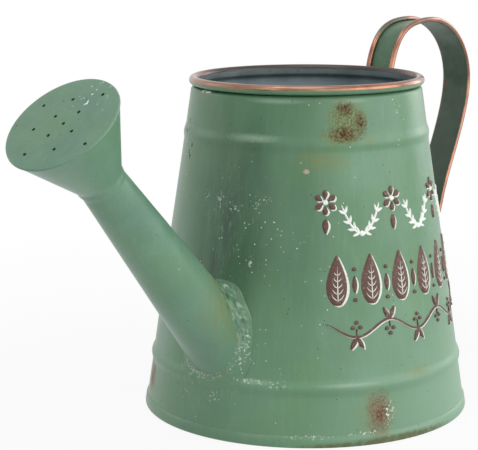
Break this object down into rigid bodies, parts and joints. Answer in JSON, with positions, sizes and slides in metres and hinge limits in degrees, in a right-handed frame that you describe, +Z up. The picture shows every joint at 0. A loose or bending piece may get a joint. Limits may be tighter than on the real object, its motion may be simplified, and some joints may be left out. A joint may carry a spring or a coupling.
{
  "type": "watering can",
  "caption": "Conical sheet-metal watering can with a wired rim, beaded wall, hemmed base, slanted spout with a perforated rose, and a strap handle with rolled edges.",
  "frame": {"origin": "on the axis of the tank at the ground plane, where the foot stands, 2 mm below the flat underside of the base", "axes": "+Z up along the axis of the tank, +X towards the handle, -X towards the spout, -Y the decorated side"},
  "size_m": [0.4057, 0.1962, 0.2282],
  "materials": {
    "sage_paint": "weathered satin",
    "painted_solder": "rough satin",
    "wire_steel": "drawn wire",
    "rivet_steel": "dull"
  },
  "bodies": {
    "root": {"body_shell": "sage_paint", "base_pan": "sage_paint", "rim_wire": "wire_steel", "spout_tube": "sage_paint", "spout_root_solder": "painted_solder", "rose_cone": "sage_paint", "rose_face": "sage_paint", "handle_strap": "sage_paint", "handle_edge_wire_left": "wire_steel", "handle_edge_wire_right": "wire_steel", "handle_rivet_upper_1": "rivet_steel", "handle_rivet_upper_2": "rivet_steel", "handle_rivet_lower_1": "rivet_steel", "handle_rivet_lower_2": "rivet_steel"}
  },
  "joints": []
}
